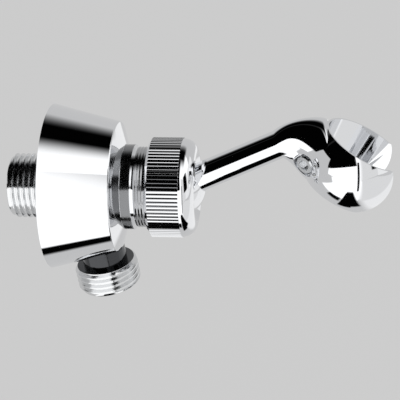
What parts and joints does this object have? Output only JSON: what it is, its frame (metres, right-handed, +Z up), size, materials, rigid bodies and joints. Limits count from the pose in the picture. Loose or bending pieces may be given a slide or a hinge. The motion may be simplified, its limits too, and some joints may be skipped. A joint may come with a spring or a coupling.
{
  "type": "hand shower holder",
  "caption": "Wall-mounted hand shower holder: conical body with threaded inlet and hose outlet, ball joint under a knurled nut, and a bent arm ending in a slotted cradle.",
  "frame": {"origin": "on the inlet axis, in the plane of the body's rear rim, which stands on the wall", "axes": "+X out of the wall along the inlet axis, +Z up, hose outlet downward, leaning 8 degrees from -Z towards +X"},
  "size_m": [0.1224, 0.0534, 0.0639],
  "materials": {
    "chrome": "polished chrome plate",
    "thread_metal": "chrome plate on pipe thread",
    "nylon": "natural nylon",
    "seal": "black rubber",
    "screw_steel": "stainless steel"
  },
  "bodies": {
    "body": {"wall_body": "chrome", "inlet_nipple": "thread_metal", "outlet_nipple": "thread_metal", "pad_spring": "seal"},
    "nut": {"knurled_nut": "chrome"},
    "seats": {"ball_pad": "nylon", "front_ring": "nylon"},
    "arm": {"ball_stem": "chrome", "holder_arm": "chrome", "grub_screw": "screw_steel"}
  },
  "joints": [
    {"name": "nut_turn", "type": "hinge", "parent": "body", "child": "nut", "pos_m": [0.0394, 0, 0], "axis": [1, 0, 0], "range_deg": [0, 180]},
    {"name": "swivel", "type": "hinge", "parent": "body", "child": "seats", "pos_m": [0.0394, 0, 0], "axis": [1, 0, 0], "continuous": true},
    {"name": "tilt", "type": "hinge", "parent": "seats", "child": "arm", "pos_m": [0.0394, 0, 0], "axis": [0, 1, 0], "range_deg": [0, 50]}
  ]
}
